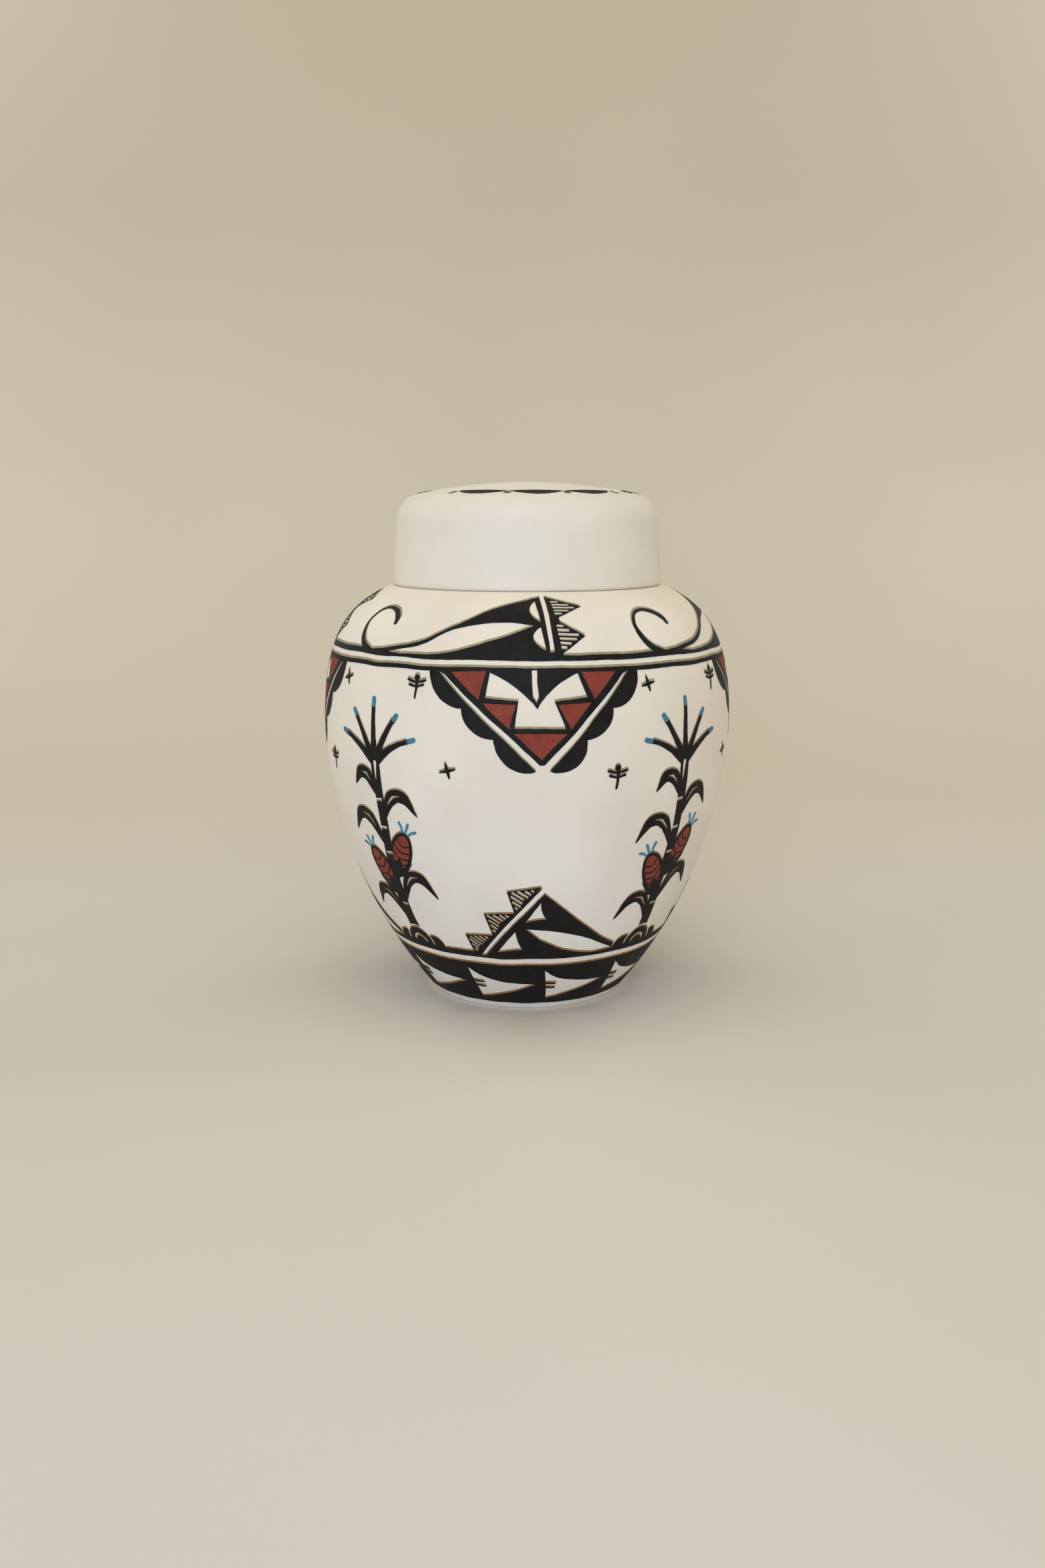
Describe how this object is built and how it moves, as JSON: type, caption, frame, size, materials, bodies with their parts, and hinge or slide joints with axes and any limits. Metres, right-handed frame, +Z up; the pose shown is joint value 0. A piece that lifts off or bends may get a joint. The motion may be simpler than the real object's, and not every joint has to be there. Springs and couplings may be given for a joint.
{
  "type": "lidded pottery jar",
  "caption": "Round-bellied fired-clay jar on a foot ring, with a shoulder ledge, a short neck and a lift-off cap lid; an open, hollow vessel for keeping things.",
  "frame": {"origin": "middle of the foot, on the surface that the jar stands on", "axes": "+Z up along the jar's axis of revolution, through the neck and the lid; -Y towards the painted side in the picture"},
  "size_m": [0.1724, 0.1724, 0.216],
  "materials": {
    "jar_clay": "unglazed bisque, matte paint in black, terracotta red and turquoise",
    "lid_clay": "unglazed bisque, matte black paint marks on the crown"
  },
  "bodies": {
    "jar": {"jar_body": "jar_clay"},
    "lid": {"lid": "lid_clay"}
  },
  "joints": [
    {"name": "lid_lift", "type": "slide", "parent": "jar", "child": "lid", "axis": [0, 0, 1], "range_m": [0, 0.06]}
  ]
}
